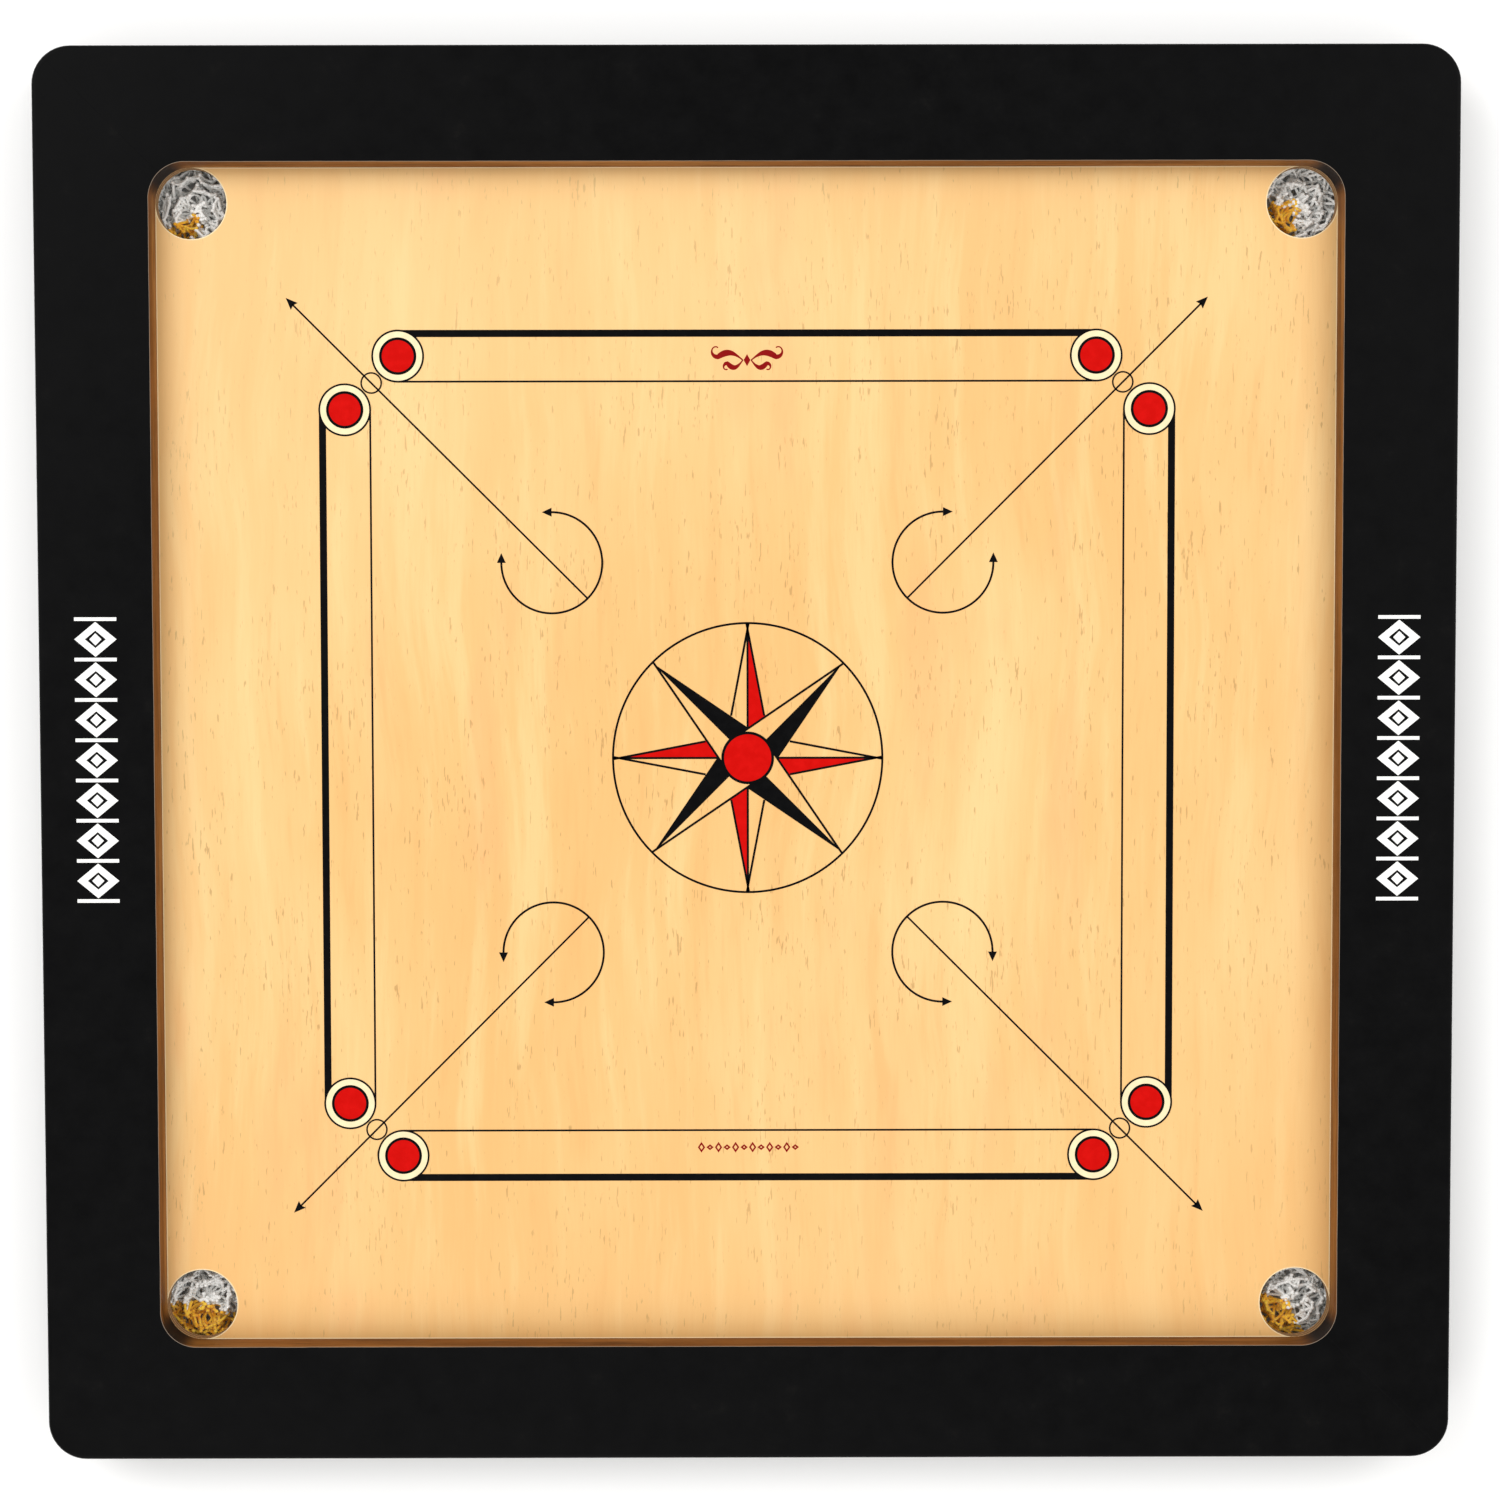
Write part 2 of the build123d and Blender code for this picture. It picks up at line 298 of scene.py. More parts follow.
def veneered_ply():
    """Pale straw veneer with long streaks, short pore flecks and a few warm patches, over five plies."""
    finish, tree, shader, place = new_finish("straw_veneer")
    parts, across, along = board_parts(tree, place)
    # The grain wanders sideways a little over the length of the sheet.
    drift = put(tree, "ShaderNodeTexNoise", {"Vector": place, "Scale": 4.0, "Detail": 2.0}).outputs["Color"]
    sway = put(tree, "ShaderNodeVectorMath", {0: drift, 1: (0.05, 0.0, 0.0)}, operation="MULTIPLY").outputs[0]
    wavy = put(tree, "ShaderNodeVectorMath", {0: place, 1: sway}, operation="ADD").outputs[0]
    cloud = mottle(tree, stretched(tree, wavy, (1.0, 0.35, 1.0)), 9, 4)
    streak = mottle(tree, stretched(tree, wavy, (1.0, 0.08, 1.0)), 48, 6, 0.62)
    fibre = mottle(tree, stretched(tree, place, (1.0, 0.035, 1.0)), 900, 3, 0.6)
    blotch = mottle(tree, stretched(tree, place, (1.0, 0.22, 1.0)), 16, 4, 0.6)
    colour = tones(tree, cloud, (0.25, (0.790, 0.445, 0.158)), (0.50, (0.815, 0.487, 0.188)),
                   (0.75, (0.850, 0.565, 0.250)))
    colour = mixed(tree, fade(tree, streak, 0.46, 0.68, 0.0, 0.62), colour, (0.86, 0.600, 0.275, 1))
    colour = mixed(tree, fade(tree, streak, 0.46, 0.30, 0.0, 0.50), colour, (0.76, 0.405, 0.140, 1))
    colour = mixed(tree, fade(tree, blotch, 0.56, 0.74, 0.0, 0.50), colour, (0.84, 0.420, 0.170, 1))
    colour = mixed(tree, fade(tree, fibre, 0.50, 0.80, 0.0, 0.22), colour, (0.66, 0.400, 0.150, 1))
    # Pores: short dark dashes, a few millimetres long, thicker in some bands than in others.
    pores = mottle(tree, stretched(tree, place, (1.0, 0.13, 1.0)), 760, 2, 0.5)
    patch = mottle(tree, stretched(tree, place, (1.0, 0.4, 1.0)), 30, 2)
    limit = fade(tree, patch, 0.35, 0.7, 0.702, 0.620)
    over = calc(tree, "SUBTRACT", pores, limit)
    colour = mixed(tree, fade(tree, over, 0.0, 0.05, 0.0, 0.58), colour, (0.40, 0.230, 0.075, 1))
    # Painted light: the veneer is painted paler at the back left and deeper towards the front, as if lit from
    # the back left.
    painted_light_slope = calc(tree, "SUBTRACT", parts["Y"], calc(tree, "MULTIPLY", parts["X"], 0.45))
    colour = mixed(tree, fade(tree, painted_light_slope, 0.05, 0.50, 0.0, 0.40), colour, (0.860, 0.600, 0.290, 1))
    colour = mixed(tree, fade(tree, painted_light_slope, -0.05, -0.50, 0.0, 0.35), colour, (0.790, 0.455, 0.170, 1))
    # Painted shade: a soft tan band is painted on the panel at the foot of the walls, where the walls shade
    # it.
    inward = calc(tree, "SUBTRACT", wall_half, calc(tree, "MAXIMUM", across, along))
    colour = mixed(tree, fade(tree, inward, 0.0, wall_shade_width, 0.26, 0.0), colour, (0.52, 0.315, 0.115, 1))
    # A pale cream hairline is painted along the panel where it meets the walls.
    colour = mixed(tree, fade(tree, inward, 0.35 * mm, 0.75 * mm, 0.8, 0.0), colour, (0.93, 0.78, 0.50, 1))
    # A painted highlight: a pale ring is painted round the eased rim of each hole, for the light it catches.
    from_x = calc(tree, "SUBTRACT", across, pocket_reach)
    from_y = calc(tree, "SUBTRACT", along, pocket_reach)
    from_hole = from_pocket(tree, from_x, from_y)
    colour = mixed(tree, fade(tree, from_hole, 0.35 * mm, 0.8 * mm, 0.7, 0.0), colour, (0.93, 0.79, 0.52, 1))
    # Pale and dark plies take turns down the edge, and the underside is bare.
    normal = put(tree, "ShaderNodeNewGeometry").outputs["Normal"]
    facing = put(tree, "ShaderNodeSeparateXYZ", {0: normal}).outputs["Z"]
    above = calc(tree, "SUBTRACT", parts["Z"], panel_bottom)
    layer = calc(tree, "MULTIPLY", above, ply_pairs / (panel_top - panel_bottom))
    ply = calc(tree, "GREATER_THAN", calc(tree, "FRACT", layer), 0.5)
    edge_grain = mottle(tree, place, 700, 3)
    plies = mixed(tree, ply, (0.50, 0.300, 0.135, 1), (0.20, 0.105, 0.045, 1))
    plies = mixed(tree, fade(tree, edge_grain, 0.4, 0.8, 0.0, 0.5), plies, (0.12, 0.06, 0.03, 1))
    colour = mixed(tree, fade(tree, facing, 0.5, 0.7, 1.0, 0.0), colour, plies)
    belly = mottle(tree, stretched(tree, place, (0.05, 1.0, 1.0)), 120, 5, 0.6)
    bare = tones(tree, belly, (0.3, (0.46, 0.29, 0.145)), (0.55, (0.60, 0.41, 0.22)),
                 (0.8, (0.68, 0.50, 0.29)))
    colour = mixed(tree, fade(tree, facing, -0.7, -0.5, 1.0, 0.0), colour, bare)
    tree.links.new(colour, shader.inputs["Base Color"])
    satin = fade(tree, fibre, 0.2, 0.8, 0.30, 0.44)
    dull = fade(tree, facing, 0.5, 0.7, 0.75, 0.0)
    tree.links.new(calc(tree, "MAXIMUM", satin, dull), shader.inputs["Roughness"])
    shader.inputs["Specular IOR Level"].default_value = 0.28
    raise_grain(tree, shader, fibre, 0.12, 0.2 * mm)
    return finish


dress(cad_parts["play_panel"], veneered_ply())


# ---------------------------------------------------------------------------------------------------------
# Base lines and base circles. Screen-printed ink on the lacquer: each side has a thick and a thin black
# line between two ringed red discs, with a pale ring inside each circle and a small circle at the corner.
# ---------------------------------------------------------------------------------------------------------

ink_step = 0.05 * mm
base_line_outer = 268.9 * mm
base_line_width = 4.5 * mm
base_circle_along = 219.1 * mm
base_circle_across = 252.6 * mm
base_circle_radius = 15.95 * mm
outline_width = 1.15 * mm
base_red_radius = 10.0 * mm
base_black_radius = 11.7 * mm
small_circle_centre = 235.85 * mm
small_circle_radius = 6.3 * mm
small_line_width = 1.0 * mm
thin_line_width = 1.2 * mm


def ink(name, colour, spotted):
    """Printing ink with a slight pull in its film and a few pinholes."""
    finish, tree, shader, place = new_finish(name)
    pull = mottle(tree, place, 160, 4)
    pinholes = mottle(tree, place, 1500, 2)
    thin = tuple(min(1.0, channel * 1.12 + 0.001) for channel in colour)
    film = mixed(tree, fade(tree, pull, 0.35, 0.75), (*colour, 1), (*thin, 1))
    film = mixed(tree, fade(tree, pinholes, 0.72, 0.78, 0.0, 0.5), film, (*spotted, 1))
    tree.links.new(film, shader.inputs["Base Color"])
    tree.links.new(fade(tree, pull, 0.3, 0.8, 0.36, 0.50), shader.inputs["Roughness"])
    shader.inputs["Specular IOR Level"].default_value = 0.05
    raise_grain(tree, shader, pull, 0.1, 0.05 * mm)
    return finish


black_ink = ink("black_ink", (0.0015, 0.0015, 0.0018), (0.03, 0.025, 0.02))
red_ink = ink("red_ink", (0.545, 0.0022, 0.0010), (0.48, 0.02, 0.01))
cream_ink = ink("cream_ink", (0.835, 0.705, 0.440), (0.80, 0.62, 0.35))
maroon_ink = ink("maroon_ink", (0.230, 0.004, 0.004), (0.10, 0.01, 0.01))
white_ink = ink("white_ink", (0.86, 0.86, 0.84), (0.05, 0.05, 0.05))
printed = {}


def flat_print(outline, base):
    """A flat face inside an outline of points, at a height."""
    nothing_selected()
    bpy.ops.mesh.primitive_circle_add(vertices=len(outline), radius=1 * mm, fill_type="NGON")
    shape = bpy.context.object
    for vertex, (x, y) in zip(shape.data.vertices, outline):
        vertex.co = (x, y, base)
    return shape


def lift_print(batch, shape, level):
    """Gives a flat printed shape its film thickness, and puts it with the others in its batch."""
    bpy.ops.object.mode_set(mode="EDIT")
    bpy.ops.mesh.select_all(action="SELECT")
    bpy.ops.mesh.extrude_region_move(TRANSFORM_OT_translate={"value": (0, 0, level * ink_step)})
    bpy.ops.mesh.select_all(action="SELECT")
    bpy.ops.mesh.normals_make_consistent(inside=False)
    bpy.ops.object.mode_set(mode="OBJECT")
    printed.setdefault(batch, []).append(shape)


def print_shape(batch, outline, level, base=panel_top):
    """Prints the area inside an outline of points, as part of a batch in one ink."""
    lift_print(batch, flat_print(outline, base), level)


def print_frame(batch, outline, width, level, base=panel_top):
    """Prints an even band just inside an outline, made by an inset whose middle is taken out."""
    shape = flat_print(outline, base)
    bpy.ops.object.mode_set(mode="EDIT")
    bpy.ops.mesh.select_all(action="SELECT")
    bpy.ops.mesh.inset(thickness=width)
    bpy.ops.mesh.delete(type="FACE")
    bpy.ops.object.mode_set(mode="OBJECT")
    lift_print(batch, shape, level)


def round_outline(centre, radius, count=64, start=0.0, sweep=math.tau):
    """Points along a circle or an arc. A circle's last point stops short of its first."""
    steps = count if sweep == math.tau else count - 1
    angles = [start + sweep * i / steps for i in range(count)]
    return [(centre[0] + radius * math.cos(a), centre[1] + radius * math.sin(a)) for a in angles]


def stroke_outline(a, b, width, shift=0.0):
    """A straight stroke from a to b, moved sideways to its left by shift."""
    run = (Vector(b) - Vector(a)).normalized()
    left = Vector((-run.y, run.x))
    near, far = left * (shift - width / 2), left * (shift + width / 2)
    return [tuple(Vector(a) + near), tuple(Vector(b) + near), tuple(Vector(b) + far), tuple(Vector(a) + far)]


def quarter(points, turn):
    """Points turned about the board's centre by a number of quarter turns."""
    turned = Matrix.Rotation(turn * math.pi / 2, 2)
    return [tuple(turned @ Vector(point)) for point in points]


thick_middle = base_line_outer - base_line_width / 2
thin_middle = base_circle_across - base_circle_radius
for turn in range(4):
    for middle, width in ((thick_middle, base_line_width), (thin_middle, thin_line_width)):
        run = [(-base_circle_along, middle), (base_circle_along, middle)]
        print_shape("base_lines", quarter(stroke_outline(*run, width), turn), 1)
    small = quarter([(small_circle_centre, small_circle_centre)], turn)[0]
    small_rim = round_outline(small, small_circle_radius + small_line_width / 2)
    print_frame("base_lines", small_rim, small_line_width, 2)
    for along in (-base_circle_along, base_circle_along):
        centre = quarter([(along, base_circle_across)], turn)[0]
        print_shape("base_circle_grounds", round_outline(centre, base_circle_radius), 2)
        rim = round_outline(centre, base_circle_radius + outline_width / 2, 96)
        print_frame("base_circle_rings", rim, outline_width, 3)
        print_shape("base_circle_rings", round_outline(centre, base_black_radius), 3)
        print_shape("base_discs", round_outline(centre, base_red_radius), 4)


# ---------------------------------------------------------------------------------------------------------
# Corner arrows and arcs. A fine black arrow points at each pocket from an open three-quarter arc that has
# a small head at each end.
# ---------------------------------------------------------------------------------------------------------

arrow_tip = 289 * mm
arrow_foot = 100.7 * mm
arrow_shaft_end = arrow_tip - 4 * mm
arrow_width = 1.15 * mm
arrow_head_length = 7.6 * mm
arrow_head_width = 6.2 * mm
arrow_barb = 1.1 * mm
arc_centre = 123.1 * mm
arc_radius = 31.75 * mm
arc_width = 1.3 * mm
arc_points = 97
arc_start = math.pi / 2
arc_sweep = 1.5 * math.pi
arc_head_length = 6.1 * mm
arc_head_width = 5.6 * mm


def head_outline(tip, direction, length, width, barb=0.0):
    """An arrowhead with its point at tip, looking along direction, and a hollowed base."""
    ahead = Vector(direction).normalized()
    left = Vector((-ahead.y, ahead.x))
    base = Vector(tip) - ahead * length
    return [tip, tuple(base + left * width / 2), tuple(base + ahead * barb), tuple(base - left * width / 2)]


for turn in range(4):
    shaft = [(arrow_foot, arrow_foot), (arrow_shaft_end, arrow_shaft_end)]
    print_shape("corner_arrows", quarter(stroke_outline(*shaft, arrow_width), turn), 1)
    head = head_outline((arrow_tip, arrow_tip), (1, 1), arrow_head_length, arrow_head_width, arrow_barb)
    print_shape("corner_arrows", quarter(head, turn), 1)
    centre = (arc_centre, arc_centre)
    outer = round_outline(centre, arc_radius + arc_width / 2, arc_points, arc_start, arc_sweep)
    inner = round_outline(centre, arc_radius - arc_width / 2, arc_points, arc_start, arc_sweep)
    print_shape("corner_arcs", quarter(outer + inner[::-1], turn), 2)
    upper = head_outline((arc_centre + arc_head_length, arc_centre + arc_radius), (1, 0),
                         arc_head_length, arc_head_width)
    lower = head_outline((arc_centre + arc_radius, arc_centre + arc_head_length), (0, 1),
                         arc_head_length, arc_head_width)
    print_shape("corner_arcs", quarter(upper, turn), 2)
    print_shape("corner_arcs", quarter(lower, turn), 2)


# ---------------------------------------------------------------------------------------------------------
# Centre star. Eight long points reach from the centre disc to the centre circle. Four half-red points lie
# behind four half-black ones, and every edge just touches the disc.
# ---------------------------------------------------------------------------------------------------------

star_radius = 85.0 * mm
star_disc_radius = 15.9 * mm
star_line = 1.35 * mm
star_disc_red = 14.9 * mm
star_disc_black = 16.6 * mm
ridge_share = 0.9
lean = math.acos(star_disc_radius / star_radius)
north = math.pi / 2
east_north = math.pi / 4


def on_circle(radius, angle):
    """The point of a circle round the board's centre at an angle."""
    return Vector((radius * math.cos(angle), radius * math.sin(angle)))


def edge_crossing(angle_a, angle_b):
    """Where two lines that touch the centre disc at two angles cross each other."""
    half = (angle_b - angle_a) / 2
    return on_circle(star_disc_radius / math.cos(half), angle_a + half)


print_frame("star_lines", round_outline((0, 0), star_radius + star_line / 2, 192), star_line, 1)
for turn in range(4):
    tip = on_circle(star_radius, north)
    root = edge_crossing(east_north + lean, 3 * east_north - lean)
    right = edge_crossing(north - lean, east_north + lean)
    left = edge_crossing(3 * east_north - lean, north + lean)
    print_shape("star_reds", quarter([tip, root, right], turn), 1)
    print_shape("star_lines", quarter(stroke_outline(tip, right, star_line, -star_line / 2), turn), 2)
    print_shape("star_lines", quarter(stroke_outline(tip, left, star_line, star_line / 2), turn), 2)
    print_shape("star_lines", quarter(stroke_outline(tip, root, star_line), turn), 2)
    point = on_circle(star_radius, east_north)
    corner = edge_crossing(east_north - lean, lean - east_north)
    touch = on_circle(star_disc_radius, lean - east_north)
    ridge = on_circle(star_disc_radius * ridge_share, east_north)
    print_shape("star_blacks", quarter([point, corner, touch, ridge], turn), 3)
    touch_left = on_circle(star_disc_radius, east_north + lean)
    edge = stroke_outline(point, touch_left, star_line, star_line / 2)
    print_shape("star_lines", quarter(edge, turn), 3)
print_shape("star_blacks", round_outline((0, 0), star_disc_black, 96), 4)
print_shape("star_reds", round_outline((0, 0), star_disc_red, 96), 5)


# ---------------------------------------------------------------------------------------------------------
# Ornaments. Plain printed motifs: a red scroll between the back base lines, a row of small maroon lozenges
# between the front ones, and a white lozenge border on the left and right rails.
# ---------------------------------------------------------------------------------------------------------

scroll_centre = 249.8 * mm
scroll_start = 2.6 * mm
scroll_arm = 15.6702 * mm
scroll_wave = 4.6 * mm
scroll_curl = 4.3 * mm
scroll_curl_from = 0.55
scroll_steps = 40
row_centre = -247.6 * mm
row_length = 65 * mm
row_height = 6.8 * mm
row_count = 12
row_band = 1.0 * mm
row_fill = 0.86
row_low_share = 0.55
border_centre = 406 * mm
border_length = 176 * mm
border_width = 26.3 * mm
border_units = 7
border_bar = 2.2 * mm
border_gap = 3.4 * mm
border_band = 4.2 * mm
border_heart = 7.6 * mm


def ribbon_outline(line, widths):
    """A band of changing width along a line of points."""
    near, far = [], []
    for i, point in enumerate(line):
        run = (line[min(i + 1, len(line) - 1)] - line[max(i - 1, 0)]).normalized()
        left = Vector((-run.y, run.x)) * widths[i] / 2
        near.append(tuple(point - left))
        far.append(tuple(point + left))
    return near + far[::-1]


def lozenge(centre, width, length):
    """The four points of a lozenge."""
    x, y = centre
    return [(x - width / 2, y), (x, y - length / 2), (x + width / 2, y), (x, y + length / 2)]


def scroll_point(t, reach):
    """A point of the scroll: a waved arm out from the middle, then a curl that tightens to its end."""
    along = min(1.0, t / scroll_curl_from)
    x = scroll_start + scroll_arm * reach * along
    y = scroll_wave * math.sin(math.pi * 0.86 * along)
    if t > scroll_curl_from:
        curl = (t - scroll_curl_from) / (1 - scroll_curl_from)
        first = scroll_curl * reach
        size = first * (1 - 0.62 * curl)
        x += 0.15 * first + size * math.sin(3.6 * curl)
        y += first - size * math.cos(3.6 * curl)
    return x, y


# The main scroll rises and the small one falls: its direction, its reach, and how far its ribbon swells.
for mirror in (-1, 1):
    for fall, reach, swell in ((1, 1.0, 3.2), (-1, 0.62, 2.5)):
        line, widths = [], []
        for i in range(scroll_steps + 1):
            t = i / scroll_steps
            x, y = scroll_point(t, reach)
            line.append(Vector((mirror * x, scroll_centre + fall * y)))
            widths.append((0.8 + swell * math.sin(math.pi * min(1.0, t / 0.8)) ** 2) * mm)
        print_shape("scroll_flourish", ribbon_outline(line, widths), 1)
print_shape("scroll_flourish", lozenge((0, scroll_centre), 4.2 * mm, 7.5 * mm), 2)

row_pitch = row_length / row_count
for i in range(row_count):
    x = (i - (row_count - 1) / 2) * row_pitch
    tall = row_height if i % 2 == 0 else row_low_share * row_height
    print_frame("lozenge_row", lozenge((x, row_centre), row_fill * row_pitch, tall), row_band, 1)

unit = border_length / border_units
for mirror in (-1, 1):
    x = mirror * border_centre
    for i in range(border_units):
        y = (i - (border_units - 1) / 2) * unit
        print_frame("rail_border", lozenge((x, y), border_width, unit - border_gap), border_band, 2, rail_top)
        print_shape("rail_border", lozenge((x, y), border_heart, border_heart), 2, rail_top)
    for i in range(border_units + 1):
        y = (i - border_units / 2) * unit
        ends = [(x - border_width / 2, y), (x + border_width / 2, y)]
        print_shape("rail_border", stroke_outline(*ends, border_bar), 2, rail_top)

inks = {
    "base_lines": (black_ink, "panel_veneer"),
    "base_circle_grounds": (cream_ink, "panel_veneer"),
    "base_circle_rings": (black_ink, "panel_veneer"),
    "base_discs": (red_ink, "panel_veneer"),
    "corner_arrows": (black_ink, "panel_veneer"),
    "corner_arcs": (black_ink, "panel_veneer"),
    "star_lines": (black_ink, "panel_veneer"),
    "star_reds": (red_ink, "panel_veneer"),
    "star_blacks": (black_ink, "panel_veneer"),
    "scroll_flourish": (maroon_ink, "panel_veneer"),
    "lozenge_row": (maroon_ink, "panel_veneer"),
    "rail_border": (white_ink, "black_lacquer"),
}
for batch, (film, slot) in inks.items():
    nothing_selected()
    for shape in printed[batch]:
        shape.select_set(True)
    bpy.context.view_layer.objects.active = printed[batch][0]
    if len(printed[batch]) > 1:
        bpy.ops.object.join()
    piece = bpy.context.object
    piece.name = f"print_{batch}"
    dress(piece, film)
    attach(piece, "root")


# ---------------------------------------------------------------------------------------------------------
# Braces, cleats and splines. Sawn softwood battens and strips under the panel, and hardwood slips across
# the mitres, all left bare.
# ---------------------------------------------------------------------------------------------------------


def bare_wood(name, grain, dark, light):
    """Sawn timber with its grain along the piece, faint growth lines and saw marks across it."""
    finish, tree, shader, place = new_finish(name)
    rings = mottle(tree, stretched(tree, place, grain), 95, 5, 0.6)
    fibres = mottle(tree, stretched(tree, place, grain), 700, 3)
    marks = mottle(tree, stretched(tree, place, tuple(1.0 / g * 0.2 for g in grain)), 160, 2)
    middle = tuple((a + b) / 2 for a, b in zip(dark, light))
    colour = tones(tree, rings, (0.30, dark), (0.50, middle), (0.62, light), (0.8, middle))
    colour = mixed(tree, fade(tree, fibres, 0.5, 0.8, 0.0, 0.35), colour, (*dark, 1))
    tree.links.new(colour, shader.inputs["Base Color"])
    tree.links.new(fade(tree, fibres, 0.2, 0.8, 0.72, 0.88), shader.inputs["Roughness"])
    shader.inputs["Specular IOR Level"].default_value = 0.2
    raise_grain(tree, shader, calc(tree, "ADD", fibres, calc(tree, "MULTIPLY", marks, 0.5)), 0.35, 0.3 * mm)
    return finish


pine_dark, pine_light = (0.40, 0.24, 0.11), (0.66, 0.46, 0.25)
pine = {
    "x": bare_wood("sawn_pine_x", grain_x, pine_dark, pine_light),
    "y": bare_wood("sawn_pine_y", grain_y, pine_dark, pine_light),
}
slip_wood = bare_wood("hardwood_slip", (0.3, 0.3, 1.0), (0.14, 0.07, 0.03), (0.28, 0.15, 0.07))
for side in sides:
    for kind in ("brace", "cleat"):
        dress(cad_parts[f"{kind}_{side}"], pine["x" if side in ("front", "back") else "y"])
for corner in corners:
    dress(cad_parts[f"corner_spline_{corner}"], slip_wood)


# ---------------------------------------------------------------------------------------------------------
# Screws, brads and staples. Zinc-plated countersunk screws and bright drawn wire.
# ---------------------------------------------------------------------------------------------------------


def plated_metal(name, colour, roughness):
    """Bright metal with a cloudy surface and a very fine tooth."""
    finish, tree, shader, place = new_finish(name)
    cloudy = mottle(tree, place, 900, 4)
    dull = tuple(channel * 0.72 for channel in colour)
    plating = mixed(tree, fade(tree, cloudy, 0.3, 0.7), (*colour, 1), (*dull, 1))
    tree.links.new(plating, shader.inputs["Base Color"])
    tree.links.new(fade(tree, cloudy, 0.2, 0.8, roughness, roughness + 0.18), shader.inputs["Roughness"])
    shader.inputs["Metallic"].default_value = 1.0
    raise_grain(tree, shader, cloudy, 0.15, 0.1 * mm)
    return finish


zinc = plated_metal("zinc_plate", (0.62, 0.62, 0.58), 0.30)
wire = plated_metal("drawn_wire", (0.55, 0.55, 0.55), 0.26)
for name in ("brace_end_screws", "panel_screws"):
    dress(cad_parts[name], zinc)
for name in ["cleat_brads"] + [f"net_staples_{corner}" for corner in corners]:
    dress(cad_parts[name], wire)


# ---------------------------------------------------------------------------------------------------------
# Pocket nets. Knotted cotton netting, white at the top and orange where it was finished off, looped over a
# laid cord that is stapled round each hole. The board lies on a table, so each net is bunched under it.
# ---------------------------------------------------------------------------------------------------------

cord_radius = 1.2 * mm
strand_radius = 0.6 * mm
lay_strands = 3
lay_turns = 26
lay_points = 7
rim_radius = (cord_box[1][0] - cord_box[0][0]) / 2 - cord_radius
rim_height = (cord_box[0][2] + cord_box[1][2]) / 2
net_columns = 40
net_rows = 24
first_knot_angle = 4.5
twine_radius = 0.95 * mm
knot_radius = 1.6 * mm
knot_shape = (1.0, 0.8, 0.72, 1.0)
loop_radius = 1.85 * mm
loop_slack = 1.05
loop_twine = 0.60 * mm
loop_points = 10
net_top = rim_height - loop_radius
net_ceiling = net_top + 3.0 * mm
net_floor = 2.1 * mm
net_reach = 30.2 * mm
side_rows = 5
side_bulge = 2.6 * mm
side_taper = 1.5 * mm
side_foot = 4.5 * mm
heap_core = 2.8 * mm
heap_middle = 11.8 * mm
heap_rise = 5.0 * mm
heap_folds = 3.0
fold_reach = 3.2 * mm
fold_height = 5.4 * mm
stir_reach = 5.4 * mm
fine_reach = 3.0 * mm
up = Vector((0, 0, 1))


def cotton(name, shade, light):
    """Soft spun cotton: matt, faintly fuzzy, with the lay of its yarn as a fine relief."""
    finish, tree, shader, place = new_finish(name)
    fuzz = mottle(tree, place, 2600, 3, 0.7)
    wear = mottle(tree, place, 240, 3)
    colour = mixed(tree, fade(tree, wear, 0.35, 0.7), (*shade, 1), (*light, 1))
    # Painted shade: the cotton is painted darker in flecks where the fuzz dips, for the shade between the
    # fibres.
    fuzz_painted_shade = tuple(channel * 0.62 for channel in shade)
    colour = mixed(tree, fade(tree, fuzz, 0.50, 0.30, 0.0, 0.20), colour, (*fuzz_painted_shade, 1))
    tree.links.new(colour, shader.inputs["Base Color"])
    shader.inputs["Roughness"].default_value = 0.92
    shader.inputs["Specular IOR Level"].default_value = 0.1
    shader.inputs["Sheen Weight"].default_value = 0.35
    shader.inputs["Sheen Roughness"].default_value = 0.5
    raise_grain(tree, shader, fuzz, 0.6, 0.25 * mm)
    return finish


white_cotton = cotton("white_cotton", (0.90, 0.90, 0.88), (0.97, 0.97, 0.95))
orange_cotton = cotton("orange_cotton", (0.90, 0.42, 0.02), (0.98, 0.66, 0.07))


def twine_object(name, paths, radius, cyclic=False):
    """Turns lists of points into smooth round twine, as one mesh."""
    line = bpy.data.curves.new(name, "CURVE")
    line.dimensions = "3D"
    line.resolution_u = 2
    line.bevel_depth = radius
    line.bevel_resolution = 1
    line.use_fill_caps = True
    for path in paths:
        spline = line.splines.new("NURBS")
        spline.points.add(len(path) - 1)
        for point, place in zip(spline.points, path):
            point.co = (*place, 1)
        spline.order_u = 3
        spline.use_endpoint_u = not cyclic
        spline.use_cyclic_u = cyclic
    piece = bpy.data.objects.new(name, line)
    bpy.context.collection.objects.link(piece)
    nothing_selected()
    piece.select_set(True)
    bpy.context.view_layer.objects.active = piece
    bpy.ops.object.convert(target="MESH")
    return bpy.context.object


def column_direction(column):
    """The way from a pocket's centre to one of its net's columns."""
    angle = math.tau * column / net_columns + math.radians(first_knot_angle)
    return Vector((math.cos(angle), math.sin(angle), 0))


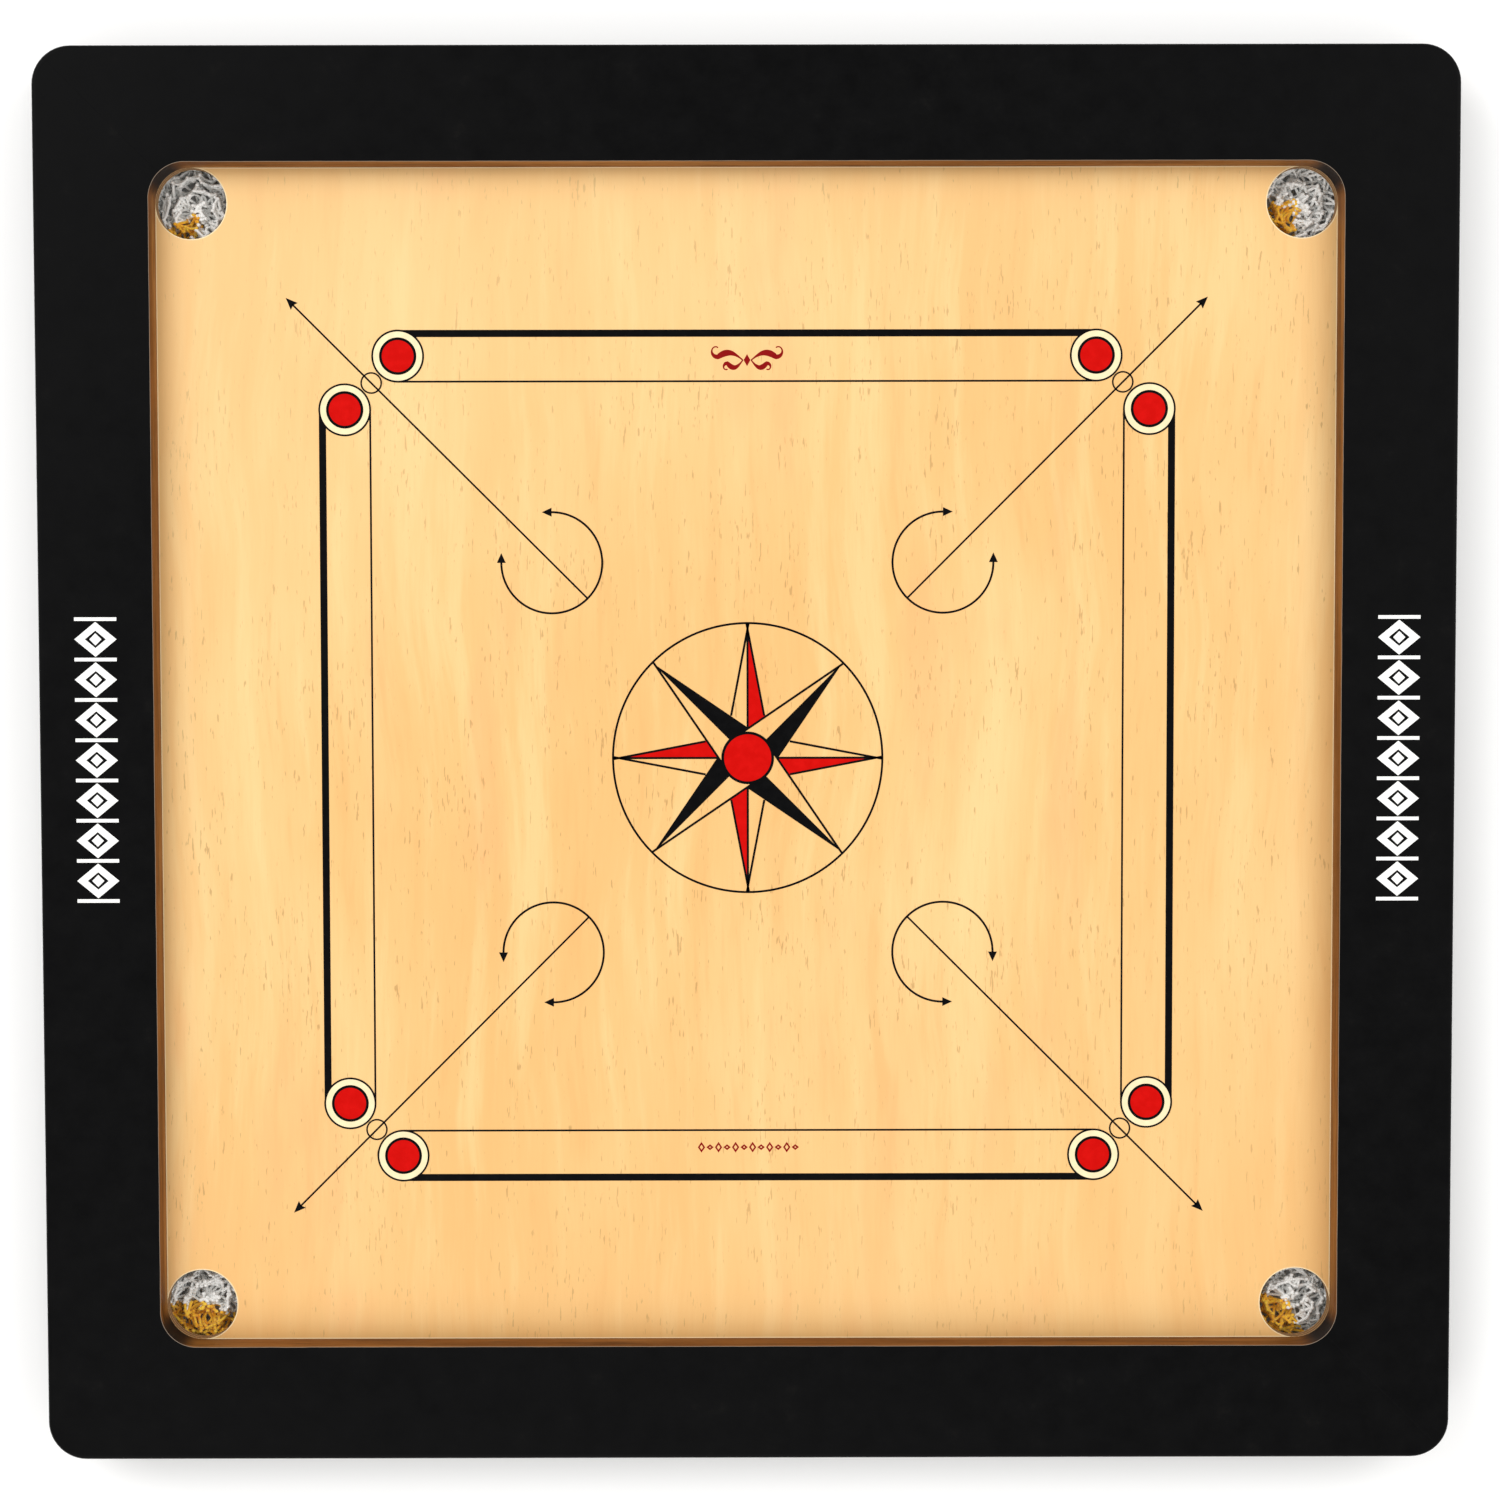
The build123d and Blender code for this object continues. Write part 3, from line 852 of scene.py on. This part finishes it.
def net_place(net_number, column, row, pull):
    """Where a knot of the bunched net lies: down the side, then in folds that close towards the middle."""
    around = column_direction(column)
    # No seed is set for this noise, so the folds come out a little differently each time this is run.
    stir = noise.noise_vector(Vector((2.1 * around.x, 2.1 * around.y, 0.30 * row + net_number * 7.3)))
    fine = noise.noise_vector(Vector((6.5 * around.x, 6.5 * around.y, 1.1 * row + net_number * 3.1)))
    if row <= side_rows:
        loose = row / side_rows
        radius = rim_radius + side_bulge * math.sin(math.pi * loose) - side_taper * loose
        height = net_top - (net_top - side_foot) * loose
    else:
        loose = 1.0
        inward = (row - side_rows) / (net_rows - side_rows)
        fold = math.tau * heap_folds * inward + 2.6 * stir.x
        radius = (rim_radius - side_taper) * (1 - inward) ** 0.8 + heap_core + fold_reach * math.sin(fold)
        height = heap_middle + fold_height * math.cos(fold + 1.3 * stir.y) + heap_rise * inward
    place = around * radius + up * height + loose * Vector((*pull, 0)) * mm
    place += loose * (Vector((stir.x, stir.y, 0.9 * stir.z)) * stir_reach + fine * fine_reach)
    flat = Vector((place.x, place.y))
    if flat.length > net_reach:
        flat *= net_reach / flat.length
    return Vector((flat.x, flat.y, min(max(place.z, net_floor), net_ceiling)))


def is_orange(dye_direction, dye_spread, dye_row, column, row):
    """Whether a knot lies in the part of the net that was dyed orange."""
    angle = 360 * column / net_columns + first_knot_angle
    away = abs((angle - dye_direction + 180) % 360 - 180)
    return away < dye_spread and row >= dye_row


def net_strands(knots, dyed):
    """The net's white and orange strands: two from every other column, changing where the dye begins."""
    strands = {False: [], True: []}
    for start in range(0, net_columns, 2):
        for hand in (-1, 1):
            path, orange = [], False
            for row in range(net_rows + 1):
                spot = ((start + hand * row) % net_columns, row)
                if (spot in dyed) != orange and path:
                    path.append(knots[spot])
                    if len(path) > 2:
                        strands[orange].append(path)
                    path = []
                orange = spot in dyed
                path.append(knots[spot])
            if len(path) > 2:
                strands[orange].append(path)
    return strands[False], strands[True]


def knot_lumps(name, knots, spots):
    """Small flattened lumps at the crossings, each turned its own way, as one mesh."""
    heap = bmesh.new()
    for column, row in spots:
        turned = Euler((0.9 * column, 1.7 * row, 0)).to_matrix().to_4x4()
        lump = Matrix.Translation(knots[column, row]) @ turned @ Matrix.Diagonal(knot_shape)
        bmesh.ops.create_uvsphere(heap, u_segments=6, v_segments=4, radius=knot_radius, matrix=lump)
    lumps = bpy.data.meshes.new(name)
    heap.to_mesh(lumps)
    heap.free()
    piece = bpy.data.objects.new(name, lumps)
    bpy.context.collection.objects.link(piece)
    return piece


def rim_loops(middle):
    """The loops that carry the net on its cord, one at every other column."""
    loops = []
    reach = loop_radius * loop_slack
    turns = [math.tau * k / loop_points for k in range(loop_points)]
    for column in range(0, net_columns, 2):
        around = column_direction(column)
        hub = middle + around * rim_radius + up * rim_height
        loops.append([hub + reach * (around * math.cos(a) + up * math.sin(a)) for a in turns])
    return twine_object("rim_loops", loops, loop_twine, cyclic=True)


def laid_cord(name, middle):
    """Strands laid round each other along the rim of a pocket, as one closed cord."""
    strands = []
    steps = lay_turns * lay_points
    for strand in range(lay_strands):
        path = []
        for i in range(steps):
            angle = math.tau * i / steps
            roll = lay_turns * angle + math.tau * strand / lay_strands
            around = Vector((math.cos(angle), math.sin(angle), 0))
            out = rim_radius + strand_radius * math.cos(roll)
            path.append(middle + around * out + up * (rim_height + strand_radius * math.sin(roll)))
        strands.append(path)
    return twine_object(name, strands, strand_radius, cyclic=True)


# Each net's dye: its direction and spread in degrees and its first row. Then how far the heap leans, in mm.
net_dyes = {
    "front_left": ((255, 75, 7), (0.5, -2.5)),
    "front_right": ((235, 62, 6), (-2.0, -2.0)),
    "back_left": ((235, 24, 6), (1.5, -4.0)),
    "back_right": ((215, 44, 8), (0.0, -0.5)),
}
all_spots = [(column, row) for row in range(net_rows + 1) for column in range(row % 2, net_columns, 2)]
for net_number, corner in enumerate(corners):
    low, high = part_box(f"net_cord_{corner}")
    middle = Vector(((low[0] + high[0]) / 2, (low[1] + high[1]) / 2, 0))
    dye, pull = net_dyes[corner]
    knots = {spot: middle + net_place(net_number, *spot, pull) for spot in all_spots}
    dyed = {spot for spot in all_spots if is_orange(*dye, *spot)}
    white_strands, orange_strands = net_strands(knots, dyed)
    tied = [spot for spot in all_spots if spot[1] > 0]
    net_parts = (
        (twine_object("white_twine", white_strands, twine_radius), white_cotton),
        (twine_object("orange_twine", orange_strands, twine_radius), orange_cotton),
        (knot_lumps("white_knots", knots, [spot for spot in tied if spot not in dyed]), white_cotton),
        (knot_lumps("orange_knots", knots, [spot for spot in tied if spot in dyed]), orange_cotton),
        (rim_loops(middle), white_cotton),
    )
    nothing_selected()
    for part, yarn in net_parts:
        dress(part, yarn)
        part.select_set(True)
    bpy.context.view_layer.objects.active = net_parts[0][0]
    bpy.ops.object.join()
    net = bpy.context.object
    net.name = f"knotted_net_{corner}"
    bpy.ops.object.shade_smooth()

    rim_cord = laid_cord(f"laid_rim_cord_{corner}", middle)
    dress(rim_cord, white_cotton)
    bpy.ops.object.shade_smooth()
    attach(rim_cord, "root")
    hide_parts(f"net_cord_{corner}")

    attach(net, "root")
    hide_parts(f"pocket_net_{corner}")
